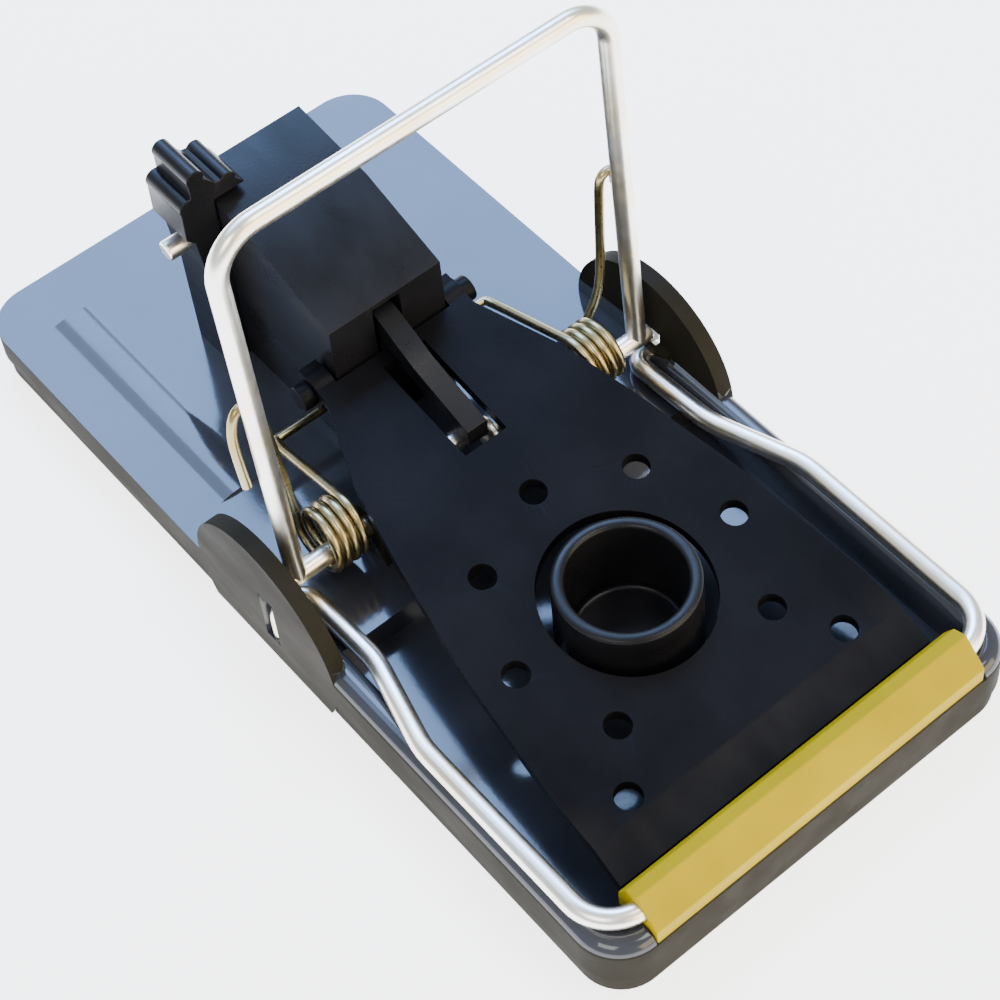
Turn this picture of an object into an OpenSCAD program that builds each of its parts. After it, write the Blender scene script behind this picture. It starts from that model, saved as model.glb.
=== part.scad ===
/* [Base tray] */
// Length of the tray, front to rear
base_l = 104; // [98:1:110]
// Width of the tray
base_w = 51.5; // [51:0.1:53]
// Radius of the tray's corners in plan
corner_r = 5; // [4.5:0.1:5.5]
// Height of the rim beside the pedal
front_rim_h = 8; // [7.8:0.1:8.2]
// Height of the rear deck
deck_h = 6.1; // [5.8:0.05:6.1]
// Height of the floor under the pedal
floor_h = 3; // [2.6:0.1:3.2]
// Radius of the round ears at the sides
ear_r = 11.2; // [11:0.1:11.6]

/* [Striker] */
// Diameter of the striker and anvil wires
wire_d = 2.1; // [2:0.02:2.1]
// Width of the bail between the centre lines of its legs
bail_w = 43.6; // [43.2:0.1:43.8]
// Height of the bail from its pivot to the centre of the crossbar
bail_h = 45.6; // [45.4:0.1:45.7]
// Rearward lean of the set bail, degrees
bail_lean = 3; // [3:0.1:4]
// Pivot line of the bail, front to rear
pivot_y = -1; // [-1.2:0.1:-0.8]
// Height of the pivot line
pivot_z = 10.5; // [10.4:0.1:10.6]

/* [Springs] */
// Diameter of the spring wire
spring_d = 1; // [0.9:0.05:1]
// Mean radius of the coils
coil_r = 3.1; // [3.1:0.05:3.2]

/* [Trip pedal] */
// Slope of the pedal, degrees
pedal_slope = 9.1; // [9:0.1:9.3]
// Thickness of the pedal plate
pedal_t = 1.3; // [1.1:0.1:1.4]
// Radius of the hole around the bait cup
cup_hole_r = 8.75; // [8.5:0.05:9]
// Radius of the small scent holes
scent_hole_r = 1.4; // [1.2:0.1:1.6]

/* [Bait cup] */
// Outer radius of the cup
cup_r = 7.3; // [7:0.1:7.4]
// Bore radius of the cup
cup_bore_r = 5.9; // [5.6:0.1:6]
// Height of the cup's lip above the table
cup_top = 14.2; // [13.5:0.1:14.5]

/* [Trigger] */
// Width of the trigger housing
housing_w = 13.8; // [13.6:0.1:13.9]
// Wall thickness of the housing
housing_t = 1.4; // [1.2:0.1:1.4]
// Diameter of the latch pin
latch_pin_d = 2.2; // [2:0.1:2.2]
// Diameter of the pedal pin
pedal_pin_d = 2; // [1.8:0.1:2]

/* [Hidden] */
$fn = 48;

slate = [0.40, 0.44, 0.53];
black = [0.10, 0.10, 0.11];
yellow = [0.86, 0.76, 0.24];
zinc = [0.80, 0.80, 0.78];
spring_steel = [0.66, 0.62, 0.50];

fit = 0.05;          // radial clearance of a pin in its bore
gap = 0.3;           // space between parts that move past each other
eps = 0.01;          // overshoot of a cut

// tray
core_x = base_w / 2 - corner_r;
core_y = base_l / 2 - corner_r;
rim_r = 1.5;
crest = corner_r - rim_r;
rim_x = core_x + crest;
step_h = 2.7;
step_in = 0.4;
floor_y = -8.4;
rib_x = 18.4;
rib_r = 8;
rib_top = deck_h + 0.4;
rib_front = 14;
rib_rear = 45;
ear_t = 1.8;
ear_y = -0.2;
ear_z = 5.8;

// posts that carry the striker's axle
post_in = 10.6;
post_out = 13.2;
post_r = 2.5;

// striker
wire_r = wire_d / 2;
half_bail = bail_w / 2;
bail_corner = 4.6;
crank_throw = 2.3;
crank_half = 2.4;
crank_angle = 68;
axle_in = 4.5;
axle_out = 23.2;
wire_sides = 12;
bend_step = 12;

// springs: each coil hangs on the axle, pushed up and back by its arms
coil_in = 14.45;
coil_centre = [0, 11.5];
coil_start = 72;
coil_step = 22.8;
coil_end = 1440.1;
// the left arm is hooked right round its leg, the right arm ends behind its leg
left_arm = [[18.6, 3, 15], [19.2, 2.6, 22], [19.9, 2.3, 28.5], [20.4, 2.1, 31.5], [21.1, 2.2, 33.3],
            [22, 2.2, 33.8], [23, 2.1, 33], [23.6, 1.8, 31.2], [23.8, 1.3, 28], [23.8, 0.8, 25]];
right_arm = [[19.5, 2.9, 14], [20.3, 2.5, 18], [20.4, 2.2, 24], [20.4, 2.1, 31.3], [20.8, 2, 32.8],
             [21.6, 1.9, 33.3], [22.2, 1.9, 32.7], [22.3, 1.9, 31.5]];

// anvil wire
anvil_z = front_rim_h + wire_r + 0.02;
anvil_front_y = -49.3;
anvil_leg_x = 21.3;
anvil_end_z = 7.2;
anvil_end_x = 24.5;

// impact bar
bar_half = 20.4;
bar_seat = 6.6;
bar_profile = [[-46.5, bar_seat], [-46.5, 8.8], [-47.6, 10.7], [-49.1, 11.3], [-51.8, 8.6], [-51.8, bar_seat]];

// pedal
pedal_pin = [12.2, 16];
pedal_y0 = -40.7;
pedal_z0 = 9.2;
ridge_y = -42;
pedal_front = -45.7;
pedal_outline = [[13.8, 9.4], [9.4, 9.4], [0, 13.1], [-9, 15.2], [-22, 17.6], [-36, 19.1], [pedal_front, 19.4]];
window_x = 2.6;
window_front = -3.8;
window_rear = 9;
cheek_in = 7.2;
cheek_out = 9.4;
pin_head_out = 10.9;
pin_head_r = 1.4;
hub_r = 2;
cup_y = -24.6;
scent_ring_r = 13.7;
corner_hole = [13.5, -40.1];

// trigger
half_housing = housing_w / 2;
latch_axis = [31, 23.5];
arm_half = 1.2;
slot_half = 1.7;
housing_profile = [[10.8, deck_h], [10.8, 24.1], [22, 28], [33, 29.4], [33.2, deck_h]];
slot_bottom = 13.6;
slot_top = 23.5;
arm_hub_r = 2.3;
lever_in = -half_housing - gap;
lever_rear = 34;
lever_front = 28;

// A profile drawn as [y, z] and carried along X from x0 to x1
module along_x(x0, x1) {
    translate([x0, 0, 0])
        rotate([90, 0, 90])
            linear_extrude(x1 - x0)
                children();
}

// A round bar or bore along X, centred on [y, z]
module bar_x(x0, x1, yz, r) {
    translate([x0, yz[0], yz[1]])
        rotate([0, 90, 0])
            cylinder(h = x1 - x0, r = r);
}

module both_sides() {
    children();
    mirror([1, 0, 0])
        children();
}

function unit(v) = v / norm(v);
function clamp1(a) = max(-1, min(1, a));
function turn(p, i) = acos(clamp1(unit(p[i] - p[i - 1]) * unit(p[i + 1] - p[i])));

// Points of the round bend of radius r at corner i of path p
function bend_points(p, i, r) =
    let (u = unit(p[i] - p[i - 1]),
         w = unit(p[i + 1] - p[i]),
         n = unit(w - u * (u * w)),
         centre = p[i] - u * r * tan(turn(p, i) / 2) + n * r,
         steps = ceil(turn(p, i) / bend_step))
    [for (k = [0 : steps]) centre + r * (u * sin(turn(p, i) * k / steps) - n * cos(turn(p, i) * k / steps))];

// Path p with each inner corner rounded to its radius in bend
function rounded_path(p, bend) =
    [p[0],
     for (i = [1 : len(p) - 2]) each bend_points(p, i, bend[i - 1]),
     p[len(p) - 1]];

// The same path run on to its mirror image across the YZ plane
function with_mirror(p) =
    concat(p, [for (i = [len(p) - 1 : -1 : 0]) if (p[i][0] > eps) [-p[i][0], p[i][1], p[i][2]]]);

function tangent(p, i) = unit(p[min(i + 1, len(p) - 1)] - p[max(i - 1, 0)]);
function flatten_to(n, t) = unit(n - t * (n * t));

// Tube swept along a list of points
module swept_tube(p, r, sides) {
    normals = [for (i = 0, n = flatten_to([0.1, 0.7, 0.3], tangent(p, 0)); i < len(p);
                    i = i + 1, n = flatten_to(n, tangent(p, min(i, len(p) - 1)))) n];
    ring = [for (i = [0 : len(p) - 1], a = [0 : 360 / sides : 359])
                p[i] + r * (cos(a) * normals[i] + sin(a) * cross(tangent(p, i), normals[i]))];
    wall = [for (i = [0 : len(p) - 2], k = [0 : sides - 1])
                [i * sides + k, (i + 1) * sides + k,
                 (i + 1) * sides + (k + 1) % sides, i * sides + (k + 1) % sides]];
    last = (len(p) - 1) * sides;
    ends = [[for (k = [0 : sides - 1]) k], [for (k = [sides - 1 : -1 : 0]) last + k]];
    polyhedron(ring, concat(wall, ends));
}

// Half of the rim: the short end at -Y and both long sides back to the middle
module half_rim() {
    module section() {
        translate([crest, front_rim_h - rim_r])
            circle(rim_r);
        translate([crest - rim_r, step_h])
            square([2 * rim_r, front_rim_h - rim_r - step_h]);
        translate([crest - rim_r, 0])
            square([2 * rim_r - step_in, step_h]);
    }
    both_sides() {
        translate([core_x, 0, 0])
            rotate([90, 0, 0])
                linear_extrude(core_y)
                    section();
        translate([core_x, -core_y, 0])
            rotate([0, 0, -90])
                rotate_extrude(angle = 90)
                    section();
    }
    translate([-core_x, -core_y, 0])
        rotate([90, 0, -90])
            mirror([0, 0, 1])
                linear_extrude(2 * core_x)
                    section();
}

module rounded_plate(inset, z0, z1) {
    r = corner_r - inset;
    translate([0, 0, z0])
        linear_extrude(z1 - z0)
            union() {
                square([2 * core_x, 2 * (core_y + r)], center = true);
                square([2 * (core_x + r), 2 * core_y], center = true);
                for (x = [-core_x, core_x], y = [-core_y, core_y])
                    translate([x, y])
                        circle(r);
            }
}

module ear() {
    intersection() {
        bar_x(base_w / 2 - ear_t, base_w / 2, [ear_y, ear_z], ear_r);
        translate([base_w / 2 - ear_t, ear_y - ear_r, 0])
            cube([ear_t, 2 * ear_r, ear_z + ear_r]);
    }
    // boss around the anvil wire's bent end
    translate([anvil_end_x - 1.6, pivot_y - 3, 0])
        cube([1.6, 6, 9]);
}

// Low round-topped ridge along the left of the rear deck
module deck_rib() {
    intersection() {
        translate([-rib_x, rib_front, rib_top - rib_r])
            rotate([-90, 0, 0])
                cylinder(h = rib_rear - rib_front, r = rib_r, $fn = 180);
        translate([-rib_x - 3, rib_front, deck_h - 0.1])
            cube([6, rib_rear - rib_front, 1]);
    }
}

module axle_post() {
    translate([post_in, pivot_y - post_r, deck_h - 1])
        cube([post_out - post_in, 2 * post_r, pivot_z - deck_h + 1]);
    bar_x(post_in, post_out, [pivot_y, pivot_z], post_r);
}

// The moulded base: rim, deck, floor, ears and axle posts
module base_tray() {
    color(slate)
        difference() {
            union() {
                half_rim();
                rounded_plate(2 * rim_r - eps, 0, floor_h);
                intersection() {
                    rounded_plate(2 * rim_r - eps, 1, deck_h);
                    translate([-base_w, floor_y, 0])
                        cube([2 * base_w, base_l, base_l]);
                }
                // rear half, flush to its edge
                intersection() {
                    union() {
                        rounded_plate(step_in, 0, step_h);
                        rounded_plate(0, step_h, deck_h);
                    }
                    translate([-base_w, 0, 0])
                        cube([2 * base_w, base_l, base_l]);
                }
                deck_rib();
                both_sides() {
                    ear();
                    axle_post();
                }
            }
            // seat of the impact bar in the front rim
            translate([-bar_half - 0.2, -base_l / 2 - 1, bar_seat])
                cube([2 * bar_half + 0.4, 6, base_l]);
            both_sides() {
                bar_x(post_in - 1, post_out + 1, [pivot_y, pivot_z], wire_r + fit);
                // slot and hole for the end of the anvil wire
                bar_x(anvil_end_x - 4, anvil_end_x, [pivot_y, anvil_end_z], wire_r + fit);
                translate([anvil_end_x - wire_r - fit, pivot_y - wire_r - fit, floor_h + 0.2])
                    cube([ear_r, 2 * (wire_r + fit), 7]);
            }
        }
}

// Yellow bar moulded over the front run of the anvil wire
module impact_bar() {
    color(yellow)
        difference() {
            along_x(-bar_half, bar_half)
                polygon(bar_profile);
            bar_x(-bar_half - 1, bar_half + 1, [anvil_front_y, anvil_z], wire_r + 0.01);
        }
}

// Fixed wire that lies on the rim and hooks into both ears
module anvil_wire() {
    right = [[anvil_end_x, pivot_y, floor_h + 0.4], [anvil_end_x, pivot_y, anvil_end_z],
             [anvil_leg_x, pivot_y, anvil_end_z], [anvil_leg_x, -12.5, 8],
             [rim_x, -23.5, anvil_z], [rim_x, anvil_front_y, anvil_z], [0, anvil_front_y, anvil_z]];
    color(zinc)
        swept_tube(with_mirror(rounded_path(right, [1.3, 1.5, 10, 10, 4.6])), wire_r, wire_sides);
}

// The striker: a wire bail whose legs end on its axle, which has a crank for the catch
module strike_bail() {
    cy = crank_throw * cos(crank_angle);
    cz = crank_throw * sin(crank_angle);
    crank = [[axle_in + 0.5, 0, 0], [crank_half, 0, 0], [crank_half, cy, cz], [0, cy, cz]];
    bail = [[half_bail, 0, 0], [half_bail, 0, bail_h], [0, 0, bail_h]];
    color(zinc)
        translate([0, pivot_y, pivot_z])
            rotate([-bail_lean, 0, 0]) {
                swept_tube(with_mirror(rounded_path(crank, [1.12, 1.12])), wire_r - eps, wire_sides);
                swept_tube(with_mirror(rounded_path(bail, [bail_corner])), wire_r - eps, wire_sides);
                both_sides()
                    bar_x(axle_in, axle_out, [0, 0], wire_r);
            }
}

// Right-hand torsion spring: anchor arm, coil hanging on the axle, arm up behind the bail's leg
module torsion_spring(arm) {
    pitch = spring_d + 0.05;
    anchor = [[half_housing - 0.9, 13.6, 10.5], [9, 13.6, 10.5], [12.6, 13.6, 10.5], [13.4, 13.2, 10.55],
              [13.8, 12.4, 10.7], [14.1, 6, 12.85]];
    coil = [for (a = [coil_start : coil_step : coil_end])
                [coil_in + pitch * (a - coil_start) / 360,
                 coil_centre[0] + coil_r * cos(a),
                 coil_centre[1] + coil_r * sin(a)]];
    swept_tube(concat(anchor, coil, arm), spring_d / 2, 8);
}

module right_spring() {
    color(spring_steel)
        torsion_spring(right_arm);
}

module left_spring() {
    color(spring_steel)
        mirror([1, 0, 0])
            torsion_spring(left_arm);
}

function pedal_top(y) = pedal_z0 + (y - pedal_y0) * tan(pedal_slope);

// The sloping plate that trips the trap, with its window, holes, hinge cheeks and tail
module trip_pedal() {
    rear = pedal_outline[0][0];
    plate = [[rear, pedal_top(rear)], [ridge_y, pedal_top(ridge_y)], [pedal_front, 7.3], [pedal_front, 6],
             [ridge_y, pedal_top(ridge_y) - pedal_t], [rear, pedal_top(rear) - pedal_t]];
    outline = concat([for (p = pedal_outline) [p[1], p[0]]],
                     [for (i = [len(pedal_outline) - 1 : -1 : 0]) [-pedal_outline[i][1], pedal_outline[i][0]]]);
    tail = [[10, pedal_top(10)], [13, 17.8], [18.6, 18.4], [20, 20.05], [21.4, 20.1], [21.4, 18], [13, 14.1],
            [10, pedal_top(10) - pedal_t]];
    color(black)
        difference() {
            union() {
                intersection() {
                    along_x(-base_w / 2, base_w / 2)
                        polygon(plate);
                    linear_extrude(base_l)
                        polygon(outline);
                }
                both_sides()
                    bar_x(cheek_in, cheek_out, pedal_pin, hub_r);
                along_x(-arm_half, arm_half)
                    polygon(tail);
                bar_x(-arm_half, arm_half, pedal_pin, hub_r);
            }
            // room for the housing's front between the cheeks
            difference() {
                translate([-cheek_in, 10.5, 0])
                    cube([2 * cheek_in, base_l, base_l]);
                translate([-arm_half, 0, 0])
                    cube([2 * arm_half, base_l, base_l]);
            }
            translate([-window_x, window_front, 0])
                cube([2 * window_x, window_rear - window_front, base_l]);
            bar_x(-base_w / 2, base_w / 2, pedal_pin, pedal_pin_d / 2);
            translate([0, cup_y, 0])
                cylinder(h = base_l, r = cup_hole_r);
            for (a = [-45 : 45 : 225])
                translate([scent_ring_r * cos(a), cup_y + scent_ring_r * sin(a), 0])
                    cylinder(h = base_l, r = scent_hole_r);
            for (x = [-corner_hole[0], corner_hole[0]])
                translate([x, corner_hole[1], 0])
                    cylinder(h = base_l, r = scent_hole_r);
        }
}

// Headed pin that hinges the pedal in the housing
module pedal_pin() {
    color(black)
        union() {
            bar_x(-cheek_out, cheek_out, pedal_pin, pedal_pin_d / 2);
            both_sides()
                bar_x(cheek_out, pin_head_out, pedal_pin, pin_head_r);
        }
}

// Open cup for the bait, standing on the floor inside the pedal's hole
module bait_cup() {
    color(black)
        translate([0, cup_y, floor_h])
            difference() {
                cylinder(h = cup_top - floor_h, r = cup_r);
                translate([0, 0, 1.2])
                    cylinder(h = cup_top, r = cup_bore_r);
            }
}

// Hollow housing of the trigger, open below, with bores for both pins
module trigger_housing() {
    t = housing_t;
    inner = [[10.8 + t, 0], [10.8 + t, 24.1 - t], [22, 28 - t], [33 - t, 29.4 - t], [33 - t, 0]];
    color(black)
        difference() {
            union() {
                along_x(-half_housing, half_housing)
                    polygon(housing_profile);
                // foot below the latch lever
                translate([-half_housing - 2.6, lever_front, deck_h])
                    cube([3, lever_rear - lever_front - 0.4, 14.4]);
            }
            along_x(-half_housing + t, half_housing - t)
                polygon(inner);
            translate([-slot_half, 10, slot_bottom])
                cube([2 * slot_half, t + 5, slot_top - slot_bottom]);
            // rear slot that clears the catch's hub
            translate([-slot_half, latch_axis[0], latch_axis[1] - arm_hub_r - gap])
                cube([2 * slot_half, base_l, 2 * (arm_hub_r + gap)]);
            bar_x(-half_housing - 1, half_housing + 1, pedal_pin, pedal_pin_d / 2 + fit);
            bar_x(-half_housing - 1, half_housing + 1, latch_axis, latch_pin_d / 2 + fit);
            // holes for the springs' anchor ends
            bar_x(-half_housing - 1, half_housing + 1, [13.6, 10.5], spring_d / 2 + fit);
        }
}

// Catch that reaches forward from the latch pin, over the pedal's tail, to the striker's crank
module catch_arm() {
    arm = [[31, 25.8], [28, 25.2], [11, 21.8], [5.5, 18.9], [-2.6, 16.4], [-2.6, 14.2], [-1.6, 14.2],
           [-1.2, 14.8], [5, 16.3], [8.7, 17.9], [12, 19.2], [29.5, 21.3], [31, 21.2]];
    color(black)
        difference() {
            along_x(-arm_half, arm_half)
                union() {
                    polygon(arm);
                    translate(latch_axis)
                        circle(arm_hub_r);
                }
            bar_x(-arm_half - 1, arm_half + 1, latch_axis, latch_pin_d / 2);
        }
}

// Bright pin that the catch and the lever are fixed to
module latch_pin() {
    color(zinc)
        bar_x(-12.3, half_housing - 0.1, latch_axis, latch_pin_d / 2);
}

// Thumb lever with a lobed grip at the housing's left side
module latch_lever() {
    grip = [[lever_in, 21], [lever_in, 29.8], [-3.4, 29.8], [-4.2, 30.8], [-5.2, 31.6], [-6.6, 31.9],
            [-7.6, 33.2], [-9.6, 33.6], [-9.6, 31.6], [-11, 30.6], [-11.1, 26.6], [-10.2, 25.6], [-9.8, 21]];
    color(black)
        difference() {
            translate([0, lever_rear, 0])
                rotate([90, 0, 0])
                    linear_extrude(lever_rear - lever_front)
                        union() {
                            polygon(grip);
                            translate([-8.7, 33.8])
                                circle(1);
                            translate([-5.2, 31.3])
                                circle(0.9);
                            translate([-10, 30.6])
                                circle(1.1);
                        }
            bar_x(-base_w, -1, latch_axis, latch_pin_d / 2);
        }
}

base_tray();
impact_bar();
anvil_wire();
strike_bail();
left_spring();
right_spring();
trip_pedal();
pedal_pin();
bait_cup();
trigger_housing();
catch_arm();
latch_pin();
latch_lever();
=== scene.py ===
import math

import bmesh
import bpy
from mathutils import Matrix, Vector


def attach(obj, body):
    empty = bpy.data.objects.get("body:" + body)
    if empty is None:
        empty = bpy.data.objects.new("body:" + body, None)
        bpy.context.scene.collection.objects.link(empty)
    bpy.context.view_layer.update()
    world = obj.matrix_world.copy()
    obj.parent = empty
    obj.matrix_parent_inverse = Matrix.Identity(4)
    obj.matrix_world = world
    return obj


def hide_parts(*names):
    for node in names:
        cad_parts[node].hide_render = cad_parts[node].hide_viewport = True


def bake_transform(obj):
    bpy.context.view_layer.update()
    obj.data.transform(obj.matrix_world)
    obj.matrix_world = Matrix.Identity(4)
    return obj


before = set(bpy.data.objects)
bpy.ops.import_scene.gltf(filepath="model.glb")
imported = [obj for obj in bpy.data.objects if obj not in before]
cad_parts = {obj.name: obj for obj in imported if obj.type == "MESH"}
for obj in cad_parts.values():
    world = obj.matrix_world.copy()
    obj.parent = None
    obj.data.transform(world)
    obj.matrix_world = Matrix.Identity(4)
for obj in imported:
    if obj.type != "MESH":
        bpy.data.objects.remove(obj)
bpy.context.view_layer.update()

MM = 0.001

# ---------------------------------------------------------------- viewpoint
# The camera looks down on the trap from the left of its impact bar, from the
# height of a hand holding it, through a lens of short telephoto length.
camera = bpy.data.objects.new("camera", bpy.data.cameras.new("camera"))
bpy.context.scene.collection.objects.link(camera)
camera.data.sensor_width = 36
camera.data.lens = 93.7
camera.data.shift_x = -0.045
camera.data.shift_y = -0.073
look = Vector((0.3582, 0.4948, -0.7918)).normalized()
right = Vector((0.7644, -0.6424, -0.0556)).normalized()
up = right.cross(look)
camera.matrix_world = Matrix.LocRotScale(
    Vector((-0.0858, -0.1323, 0.2167)),
    Matrix((right, up, -look)).transposed().to_quaternion(),
    None)
bpy.context.scene.camera = camera


# ---------------------------------------------------------------- stage
# A white table top. Two cool panels behind it are mirrored by every level
# surface, a warm one in front by the near sides of the wires, and two small
# ones overhead soften the shadows.
def panel_light(name, place, target, width, height, power, colour):
    """A rectangular light at one place in metres that faces another."""
    light = bpy.data.lights.new(name, "AREA")
    light.shape = "RECTANGLE"
    light.size = width
    light.size_y = height
    light.energy = power
    light.color = colour
    lamp = bpy.data.objects.new(name, light)
    bpy.context.scene.collection.objects.link(lamp)
    lamp.location = place
    lamp.rotation_euler = (Vector(place) - Vector(target)).to_track_quat("Z", "Y").to_euler()


panel_light("window", (0.29, 0.58, 0.7), (0.29, 0.58, 0), 0.5, 0.6, 10, (0.28, 0.50, 1.0))
panel_light("sky_light", (0.3, 0.60, 0.75), (0.3, 0.60, 0), 1.4, 0.64, 14, (0.34, 0.56, 1.0))
panel_light("warm_wall", (0.3, -0.75, 0.32), (0, 0, 0.02), 0.9, 0.5, 8, (1.0, 0.78, 0.38))
panel_light("ceiling", (0.3, -0.36, 0.85), (0, 0, 0), 0.4, 0.4, 4, (1.0, 0.98, 0.95))
panel_light("left_light", (-0.6, -0.3, 0.7), (0, 0, 0), 0.4, 0.4, 3, (1.0, 0.98, 0.95))

world = bpy.data.worlds.new("sky")
bpy.context.scene.world = world
world.use_nodes = True
world.node_tree.nodes["Background"].inputs["Color"].default_value = (0.93, 0.96, 1.0, 1)
world.node_tree.nodes["Background"].inputs["Strength"].default_value = 0.9

floor_mesh = bpy.data.meshes.new("table_top")
floor_bm = bmesh.new()
bmesh.ops.create_grid(floor_bm, x_segments=1, y_segments=1, size=1.5)
floor_bm.to_mesh(floor_mesh)
floor_bm.free()
table_top = bpy.data.objects.new("table_top", floor_mesh)
bpy.context.scene.collection.objects.link(table_top)
table_top.location.z = -0.0002
table_paint = bpy.data.materials.new("table_paint")
table_paint.use_nodes = True
paint = table_paint.node_tree.nodes["Principled BSDF"]
paint.inputs["Base Color"].default_value = (0.8, 0.8, 0.8, 1)
paint.inputs["Roughness"].default_value = 0.8
paint.inputs["Emission Color"].default_value = (1, 0.99, 0.97, 1)
paint.inputs["Emission Strength"].default_value = 3.2
floor_mesh.materials.append(table_paint)


# ---------------------------------------------------------------- tray
# The base of the trap: one injection-moulded tray in glossy dark slate plastic,
# with a front rim, a flush rear deck, two round ears and posts for the axle.
def new_material(name):
    """An empty node material: its nodes, its links and its shader."""
    material = bpy.data.materials.new(name)
    material.use_nodes = True
    tree = material.node_tree
    return material, tree.nodes, tree.links, tree.nodes["Principled BSDF"]


def noise(nodes, links, scale, detail, stretch=(1, 1, 1)):
    """Noise in the object's own coordinates, which may be stretched."""
    place = nodes.new("ShaderNodeTexCoord")
    mapping = nodes.new("ShaderNodeMapping")
    mapping.inputs["Scale"].default_value = stretch
    links.new(place.outputs["Object"], mapping.inputs["Vector"])
    texture = nodes.new("ShaderNodeTexNoise")
    texture.inputs["Scale"].default_value = scale
    texture.inputs["Detail"].default_value = detail
    links.new(mapping.outputs["Vector"], texture.inputs["Vector"])
    return texture.outputs["Fac"]


def ramp(nodes, links, value, low, high, first, last):
    """A colour ramp from first to last, as value goes from low to high."""
    node = nodes.new("ShaderNodeValToRGB")
    node.color_ramp.elements[0].position = low
    node.color_ramp.elements[1].position = high
    node.color_ramp.elements[0].color = (*first, 1)
    node.color_ramp.elements[1].color = (*last, 1)
    links.new(value, node.inputs["Fac"])
    return node.outputs["Color"]


def span(nodes, links, value, low, high, first, last):
    """A number from first to last, as value goes from low to high."""
    node = nodes.new("ShaderNodeMapRange")
    node.inputs["From Min"].default_value = low
    node.inputs["From Max"].default_value = high
    node.inputs["To Min"].default_value = first
    node.inputs["To Max"].default_value = last
    links.new(value, node.inputs["Value"])
    return node.outputs["Result"]


def relief(nodes, links, height, distance, strength, below=None):
    """A bump of this depth in metres, laid over another one if below is given."""
    node = nodes.new("ShaderNodeBump")
    node.inputs["Distance"].default_value = distance
    node.inputs["Strength"].default_value = strength
    links.new(height, node.inputs["Height"])
    if below:
        links.new(below, node.inputs["Normal"])
    return node.outputs["Normal"]


def moulded_plastic(name, dark, light, smooth, dull, grain, grain_depth, gloss=0.5):
    """Moulded plastic: flow mottling, handling marks in the gloss, and a fine tool grain."""
    material, nodes, links, shader = new_material(name)
    shader.inputs["Specular IOR Level"].default_value = gloss
    mottling = noise(nodes, links, 90, 4)
    links.new(ramp(nodes, links, mottling, 0.35, 0.65, dark, light), shader.inputs["Base Color"])
    handling = noise(nodes, links, 260, 6, (1, 0.35, 1))
    links.new(span(nodes, links, handling, 0.35, 0.7, smooth, dull), shader.inputs["Roughness"])
    waves = relief(nodes, links, noise(nodes, links, 45, 2), 0.0003, 0.1)
    pits = relief(nodes, links, noise(nodes, links, grain, 3), grain_depth, 0.35, waves)
    links.new(pits, shader.inputs["Normal"])
    return material


def add_piece(name, bm, material, body, slot, *nodes):
    """Turns a bmesh into a piece that stands for CAD nodes and rides on their body."""
    mesh = bpy.data.meshes.new(name)
    bm.to_mesh(mesh)
    bm.free()
    mesh.materials.append(material)
    piece = bpy.data.objects.new(name, mesh)
    bpy.context.scene.collection.objects.link(piece)
    mesh.set_sharp_from_angle(angle=math.radians(38))
    flat = piece.modifiers.new("flat faces stay flat", "WEIGHTED_NORMAL")
    flat.keep_sharp = True
    flat.weight = 100
    if body:
        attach(piece, body)
    if nodes:
        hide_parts(*nodes)
    return piece


def moulded_copy(node, edge, segments=3, sharp=28):
    """A merged copy of a CAD node: sharp edges are rounded to a radius in metres, flat plates stay flat."""
    bm = bmesh.new()
    bm.from_mesh(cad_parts[node].data)
    bmesh.ops.remove_doubles(bm, verts=bm.verts, dist=0.002 * MM)
    bmesh.ops.dissolve_limit(bm, angle_limit=math.radians(0.5), verts=bm.verts, edges=bm.edges,
                             delimit={"NORMAL"})
    bm.normal_update()
    corners = [e for e in bm.edges if e.is_manifold and e.calc_face_angle(0) > math.radians(sharp)]
    bmesh.ops.bevel(bm, geom=corners, offset=edge, offset_type="OFFSET", segments=segments,
                    profile=0.5, affect="EDGES", clamp_overlap=True, material=-1, miter_outer="ARC")
    plates = [f for f in bm.faces if len(f.verts) > 4 and f.calc_area() > MM * MM]
    for face in bm.faces:
        face.smooth = face not in plates
    bmesh.ops.triangulate(bm, faces=plates)
    return bm


tray_plastic = moulded_plastic("tray_plastic", (0.024, 0.026, 0.034), (0.034, 0.037, 0.048),
                               0.09, 0.15, 2400, 0.00001)
# a darker, warmer copy of the same plastic: painted shade for the ears and a painted warm reflection for the
# flanks
flank_shade_and_reflection = moulded_plastic("flank_shade_and_reflection", (0.015, 0.013, 0.009), (0.020, 0.018, 0.013),
                                0.50, 0.65, 2400, 0.00004, 0.03)
CORNER_X = 20.75
CORNER_Y = 47
FLANK_OUT = 4.4
EAR_FOOT_Z = 8.3
STEEP = 0.35
bm = moulded_copy("base_tray", 0.5 * MM, 4)
for face in bm.faces:
    # the polished tool face leaves the top glossy; the drawn flanks and the ears are matt, and their copy of
    # the plastic is painted darker and warmer: painted shade on the ears and a painted warm reflection of
    # the table on the flanks
    middle = face.calc_center_median() / MM
    outward = math.hypot(max(abs(middle.x) - CORNER_X, 0), max(abs(middle.y) - CORNER_Y, 0))
    flank = abs(face.normal.z) < STEEP and outward > FLANK_OUT
    face.material_index = 1 if flank or middle.z > EAR_FOOT_Z else 0
tray = add_piece("tray", bm, tray_plastic, "frame", "tray_plastic", "base_tray")
tray.data.materials.append(flank_shade_and_reflection)

# ---------------------------------------------------------------- impact bar
# A bar of yellow plastic moulded over the front run of the anvil wire, which
# the striker hits and the jaws close on.
bar_plastic = moulded_plastic("bar_plastic", (0.34, 0.245, 0.0), (0.40, 0.285, 0.0),
                              0.40, 0.55, 2000, 0.00004, 0.05)
add_piece("impact_bar_body", moulded_copy("impact_bar", 0.3 * MM, 4), bar_plastic, "frame", "bar_plastic",
          "impact_bar")

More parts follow.
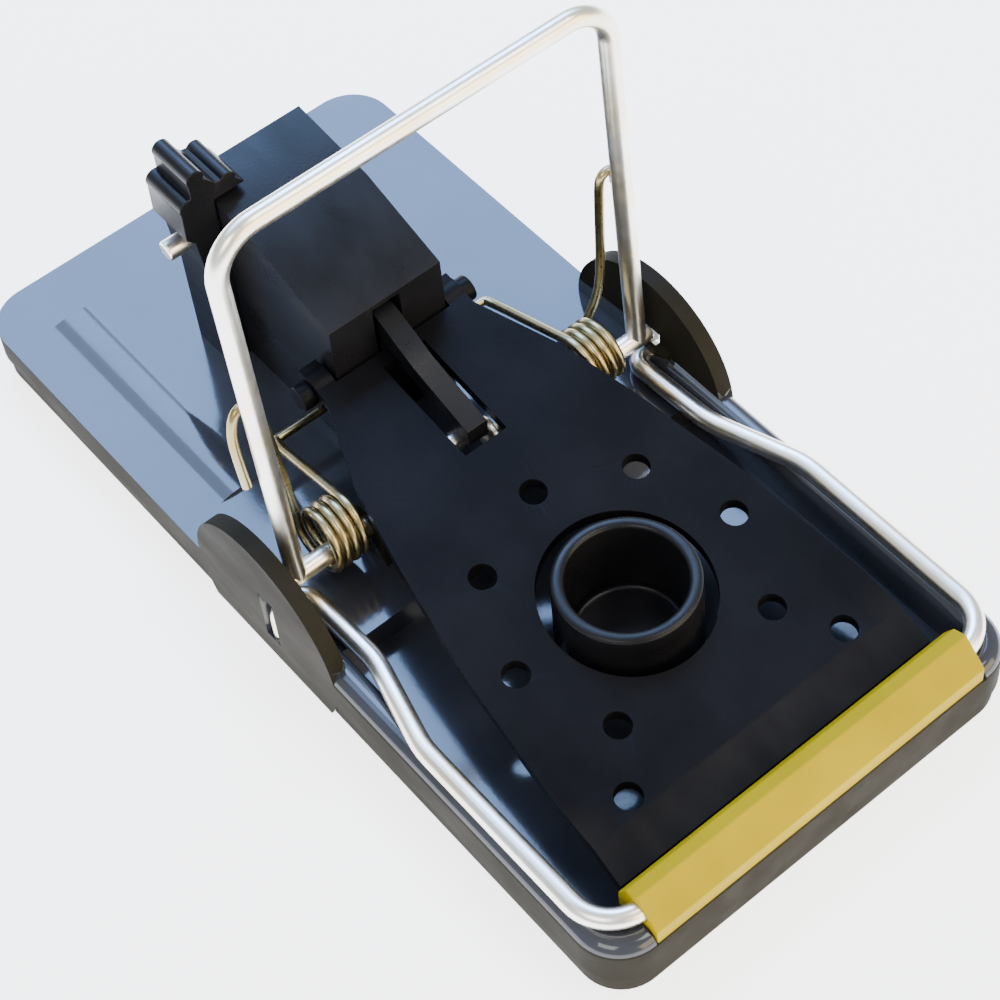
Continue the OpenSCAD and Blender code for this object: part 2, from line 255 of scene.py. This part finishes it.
# ---------------------------------------------------------------- pedal, cup and trigger
# Near-black satin mouldings: the trip pedal and its pin, the bait cup inside
# its hole, the trigger housing, the catch arm and the thumb lever.
black_plastic = moulded_plastic("black_plastic", (0.004, 0.004, 0.005), (0.008, 0.008, 0.010),
                                0.26, 0.40, 3000, 0.00003, 0.18)
matt_black = moulded_plastic("matt_black", (0.003, 0.003, 0.004), (0.006, 0.006, 0.008),
                             0.36, 0.50, 3000, 0.00005, 0.06)
for piece_name, node, body, edge, finish in (
        ("pedal_plate", "trip_pedal", "pedal", 0.25 * MM, matt_black),
        ("pedal_hinge_pin", "pedal_pin", "pedal", 0.4 * MM, matt_black),
        ("cup", "bait_cup", "frame", 0.5 * MM, black_plastic),
        ("housing", "trigger_housing", "frame", 0.4 * MM, black_plastic),
        ("catch", "catch_arm", "latch", 0.45 * MM, black_plastic),
        ("thumb_lever", "latch_lever", "latch", 0.35 * MM, black_plastic)):
    add_piece(piece_name, moulded_copy(node, edge), finish, body, "black_plastic", node)

# ---------------------------------------------------------------- wires
# The striker and the anvil are round zinc-plated steel wire, cut and bent on a wire former; the plating is
# tinted warm yellow in patches at random.
WIRE_R = 1.05 * MM
WIRE_SIDES = 24
BEND_STEP = math.radians(7.5)


def plated_wire(name, bright, warm, smooth, dull):
    """Plated wire: bright metal with warm patches, drawing lines and small scuffs."""
    material, nodes, links, shader = new_material(name)
    patches = noise(nodes, links, 120, 3)
    links.new(ramp(nodes, links, patches, 0.42, 0.62, bright, warm), shader.inputs["Base Color"])
    shader.inputs["Metallic"].default_value = 1.0
    scuffs = noise(nodes, links, 900, 5)
    links.new(span(nodes, links, scuffs, 0.35, 0.7, smooth, dull), shader.inputs["Roughness"])
    lines = relief(nodes, links, noise(nodes, links, 1500, 4, (1, 1, 0.25)), 0.000003, 0.08)
    links.new(lines, shader.inputs["Normal"])
    return material


def ring_edges(bm, centre, direction, radius, sides):
    """A ring of edges square to direction, from which a wire is drawn out."""
    turn = direction.to_track_quat("Z", "Y").to_matrix().to_4x4()
    made = bmesh.ops.create_circle(bm, cap_ends=False, radius=radius, segments=sides,
                                   matrix=Matrix.Translation(centre) @ turn)
    return list({e for v in made["verts"] for e in v.link_edges})


def draw_out(bm, ring, step, squeeze=1.0):
    """Draws a ring of edges out by a step, with a smaller ring at its end if squeeze is below 1."""
    made = bmesh.ops.extrude_edge_only(bm, edges=ring)["geom"]
    verts = [g for g in made if isinstance(g, bmesh.types.BMVert)]
    bmesh.ops.translate(bm, verts=verts, vec=step)
    if squeeze < 1:
        middle = sum((v.co for v in verts), Vector()) / len(verts)
        bmesh.ops.scale(bm, verts=verts, vec=(squeeze,) * 3, space=Matrix.Translation(-middle))
    return [g for g in made if isinstance(g, bmesh.types.BMEdge)]


def bend_round(bm, ring, centre, axis, angle, pitch=Vector()):
    """Bends a ring of edges round an axis; pitch moves it along at each step."""
    steps = max(2, math.ceil(angle / BEND_STEP))
    made = bmesh.ops.spin(bm, geom=ring + list({v for e in ring for v in e.verts}), cent=centre, axis=axis,
                          dvec=pitch / steps, angle=angle, steps=steps, use_merge=False,
                          use_normal_flip=False, use_duplicate=False)["geom_last"]
    return [g for g in made if isinstance(g, bmesh.types.BMEdge)]


def domed_end(bm, ring, direction, radius):
    """Closes a wire with a slightly domed cut end."""
    ring = draw_out(bm, ring, direction * radius * 0.12, 0.9)
    ring = draw_out(bm, ring, direction * radius * 0.06, 0.6)
    bmesh.ops.contextual_create(bm, geom=ring)


def form_wire(bm, path, bends, radius, sides):
    """Forms a wire along straight runs between the points of path, bent round at each corner."""
    path = [Vector(p) * MM for p in path]
    way = (path[1] - path[0]).normalized()
    ring = ring_edges(bm, path[0], way, radius, sides)
    first = ring
    here = path[0]
    for corner, after, bend in zip(path[1:-1], path[2:], bends):
        next_way = (after - corner).normalized()
        angle = way.angle(next_way)
        bend_r = bend * MM
        start = corner - way * bend_r * math.tan(angle / 2)
        ring = draw_out(bm, ring, start - here)
        axis = way.cross(next_way).normalized()
        ring = bend_round(bm, ring, start + axis.cross(way) * bend_r, axis, angle)
        here = corner + next_way * bend_r * math.tan(angle / 2)
        way = next_way
    ring = draw_out(bm, ring, path[-1] - here)
    domed_end(bm, ring, way, radius)
    domed_end(bm, first, (path[0] - path[1]).normalized(), radius)
    bmesh.ops.remove_doubles(bm, verts=bm.verts, dist=0.005 * MM)
    bmesh.ops.recalc_face_normals(bm, faces=bm.faces)
    for face in bm.faces:
        face.smooth = True


def mirrored(path):
    """A path on the right run on to its mirror image on the left."""
    return path + [(-x, y, z) for x, y, z in reversed(path)]


wire_plating = plated_wire("wire_plating", (0.96, 0.94, 0.88), (0.90, 0.82, 0.62), 0.28, 0.33)

bm = bmesh.new()
form_wire(bm, mirrored([(24.5, -1, 3.6), (24.5, -1, 7.2), (21.3, -1, 7.2), (21.3, -12.5, 8),
                        (24.25, -23.5, 9.07), (24.25, -49.3, 9.07)]),
          [1.3, 1.5, 10, 10, 4.6, 4.6, 10, 10, 1.5, 1.3], WIRE_R, WIRE_SIDES)
add_piece("anvil", bm, wire_plating, "frame", "plated_wire", "anvil_wire")

# The striker's axle has a crank for the catch; the legs of the bail end on it.
PIVOT = Vector((0, -1, 10.5)) * MM
LEAN = Matrix.Rotation(math.radians(-3), 4, "X")
CRANK_THROW = 2.3
CRANK_ANGLE = math.radians(68)
CRANK_X = 2.4
CRANK_BEND = 1.12
AXLE_END = 23.2
HALF_BAIL = 21.8
BAIL_HEIGHT = 45.6
BAIL_BEND = 4.6
crank = (CRANK_X, CRANK_THROW * math.cos(CRANK_ANGLE), CRANK_THROW * math.sin(CRANK_ANGLE))
bm = bmesh.new()
form_wire(bm, mirrored([(AXLE_END, 0, 0), (CRANK_X, 0, 0), crank]), [CRANK_BEND] * 4, WIRE_R, WIRE_SIDES)
form_wire(bm, mirrored([(HALF_BAIL, 0, 0), (HALF_BAIL, 0, BAIL_HEIGHT)]), [BAIL_BEND] * 2,
          WIRE_R, WIRE_SIDES)
bmesh.ops.transform(bm, matrix=Matrix.Translation(PIVOT) @ LEAN, verts=bm.verts)
add_piece("striker_bail", bm, wire_plating, "striker", "plated_wire", "strike_bail")

bm = moulded_copy("latch_pin", 0.25 * MM)
add_piece("bright_pin", bm, wire_plating, "latch", "plated_wire", "latch_pin")

# ---------------------------------------------------------------- springs
# Two torsion springs of drawn spring steel. Each is anchored in the housing's
# side and coiled loosely round the axle, and its arm runs up behind a leg of the bail.
spring_steel = plated_wire("spring_steel", (0.38, 0.34, 0.21), (0.34, 0.25, 0.10), 0.26, 0.33)
SPRING_R = 0.5
PITCH = 1.05
COIL_IN = 14.45
COIL_Y = 0.0
COIL_Z = 11.5
COIL_R = 3.1
COIL_START = 72
COIL_END = 1440
COIL_STEP = 12

anchor_arm = [(6.2, 13.6, 10.5), (12.9, 13.6, 10.5), (13.6, 13.6, 10.5), (13.8, 12.4, 10.7),
              (13.9, 11.6, 10.95), (14.3, 3, 13.8)]
coil = [(COIL_IN + PITCH * (a - COIL_START) / 360,
         COIL_Y + COIL_R * math.cos(math.radians(a)),
         COIL_Z + COIL_R * math.sin(math.radians(a))) for a in range(COIL_START, COIL_END + 1, COIL_STEP)]
# The left arm is hooked right round its leg; the right arm ends behind its leg.
left_arm = [(18.5, 3.05, 13), (19.2, 2.6, 22), (19.9, 2.3, 28.5), (20.4, 2.1, 31.5), (21.0, 2.2, 33.5),
            (22, 2.2, 34.0), (23, 2.1, 33.4), (23.7, 1.8, 31.2), (23.8, 1.3, 28), (23.8, 0.8, 25)]
right_arm = [(18.7, 3.05, 12.4), (19.9, 2.8, 15), (20.4, 2.4, 19), (20.4, 2.1, 31.2), (20.6, 2.0, 33.2),
             (21.6, 1.9, 33.6), (22.3, 1.9, 33.1), (22.3, 1.9, 31.5)]


def spring_mesh(side, arm):
    """The spring's wire from its anchor to the end of its arm; side is 1 on the right and -1 on the left."""
    curve = bpy.data.curves.new("spring_route", "CURVE")
    curve.dimensions = "3D"
    curve.bevel_depth = SPRING_R * MM
    curve.bevel_resolution = 5
    curve.use_fill_caps = True
    route = curve.splines.new("NURBS")
    points = anchor_arm + coil + arm
    route.points.add(len(points) - 1)
    for point, (x, y, z) in zip(route.points, points):
        point.co = (side * x * MM, y * MM, z * MM, 1)
    route.order_u = 3
    route.use_endpoint_u = True
    route.resolution_u = 3
    guide = bpy.data.objects.new("spring_route", curve)
    bpy.context.scene.collection.objects.link(guide)
    depsgraph = bpy.context.evaluated_depsgraph_get()
    bm = bmesh.new()
    bm.from_mesh(bpy.data.meshes.new_from_object(guide.evaluated_get(depsgraph)))
    bpy.data.objects.remove(guide)
    bmesh.ops.remove_doubles(bm, verts=bm.verts, dist=0.002 * MM)
    bmesh.ops.recalc_face_normals(bm, faces=bm.faces)
    for face in bm.faces:
        face.smooth = True
    return bm


for name, side, arm in (("right_spring", 1, right_arm), ("left_spring", -1, left_arm)):
    piece = add_piece(name + "_wire", spring_mesh(side, arm), spring_steel, None, "spring_wire", name)
    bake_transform(piece)
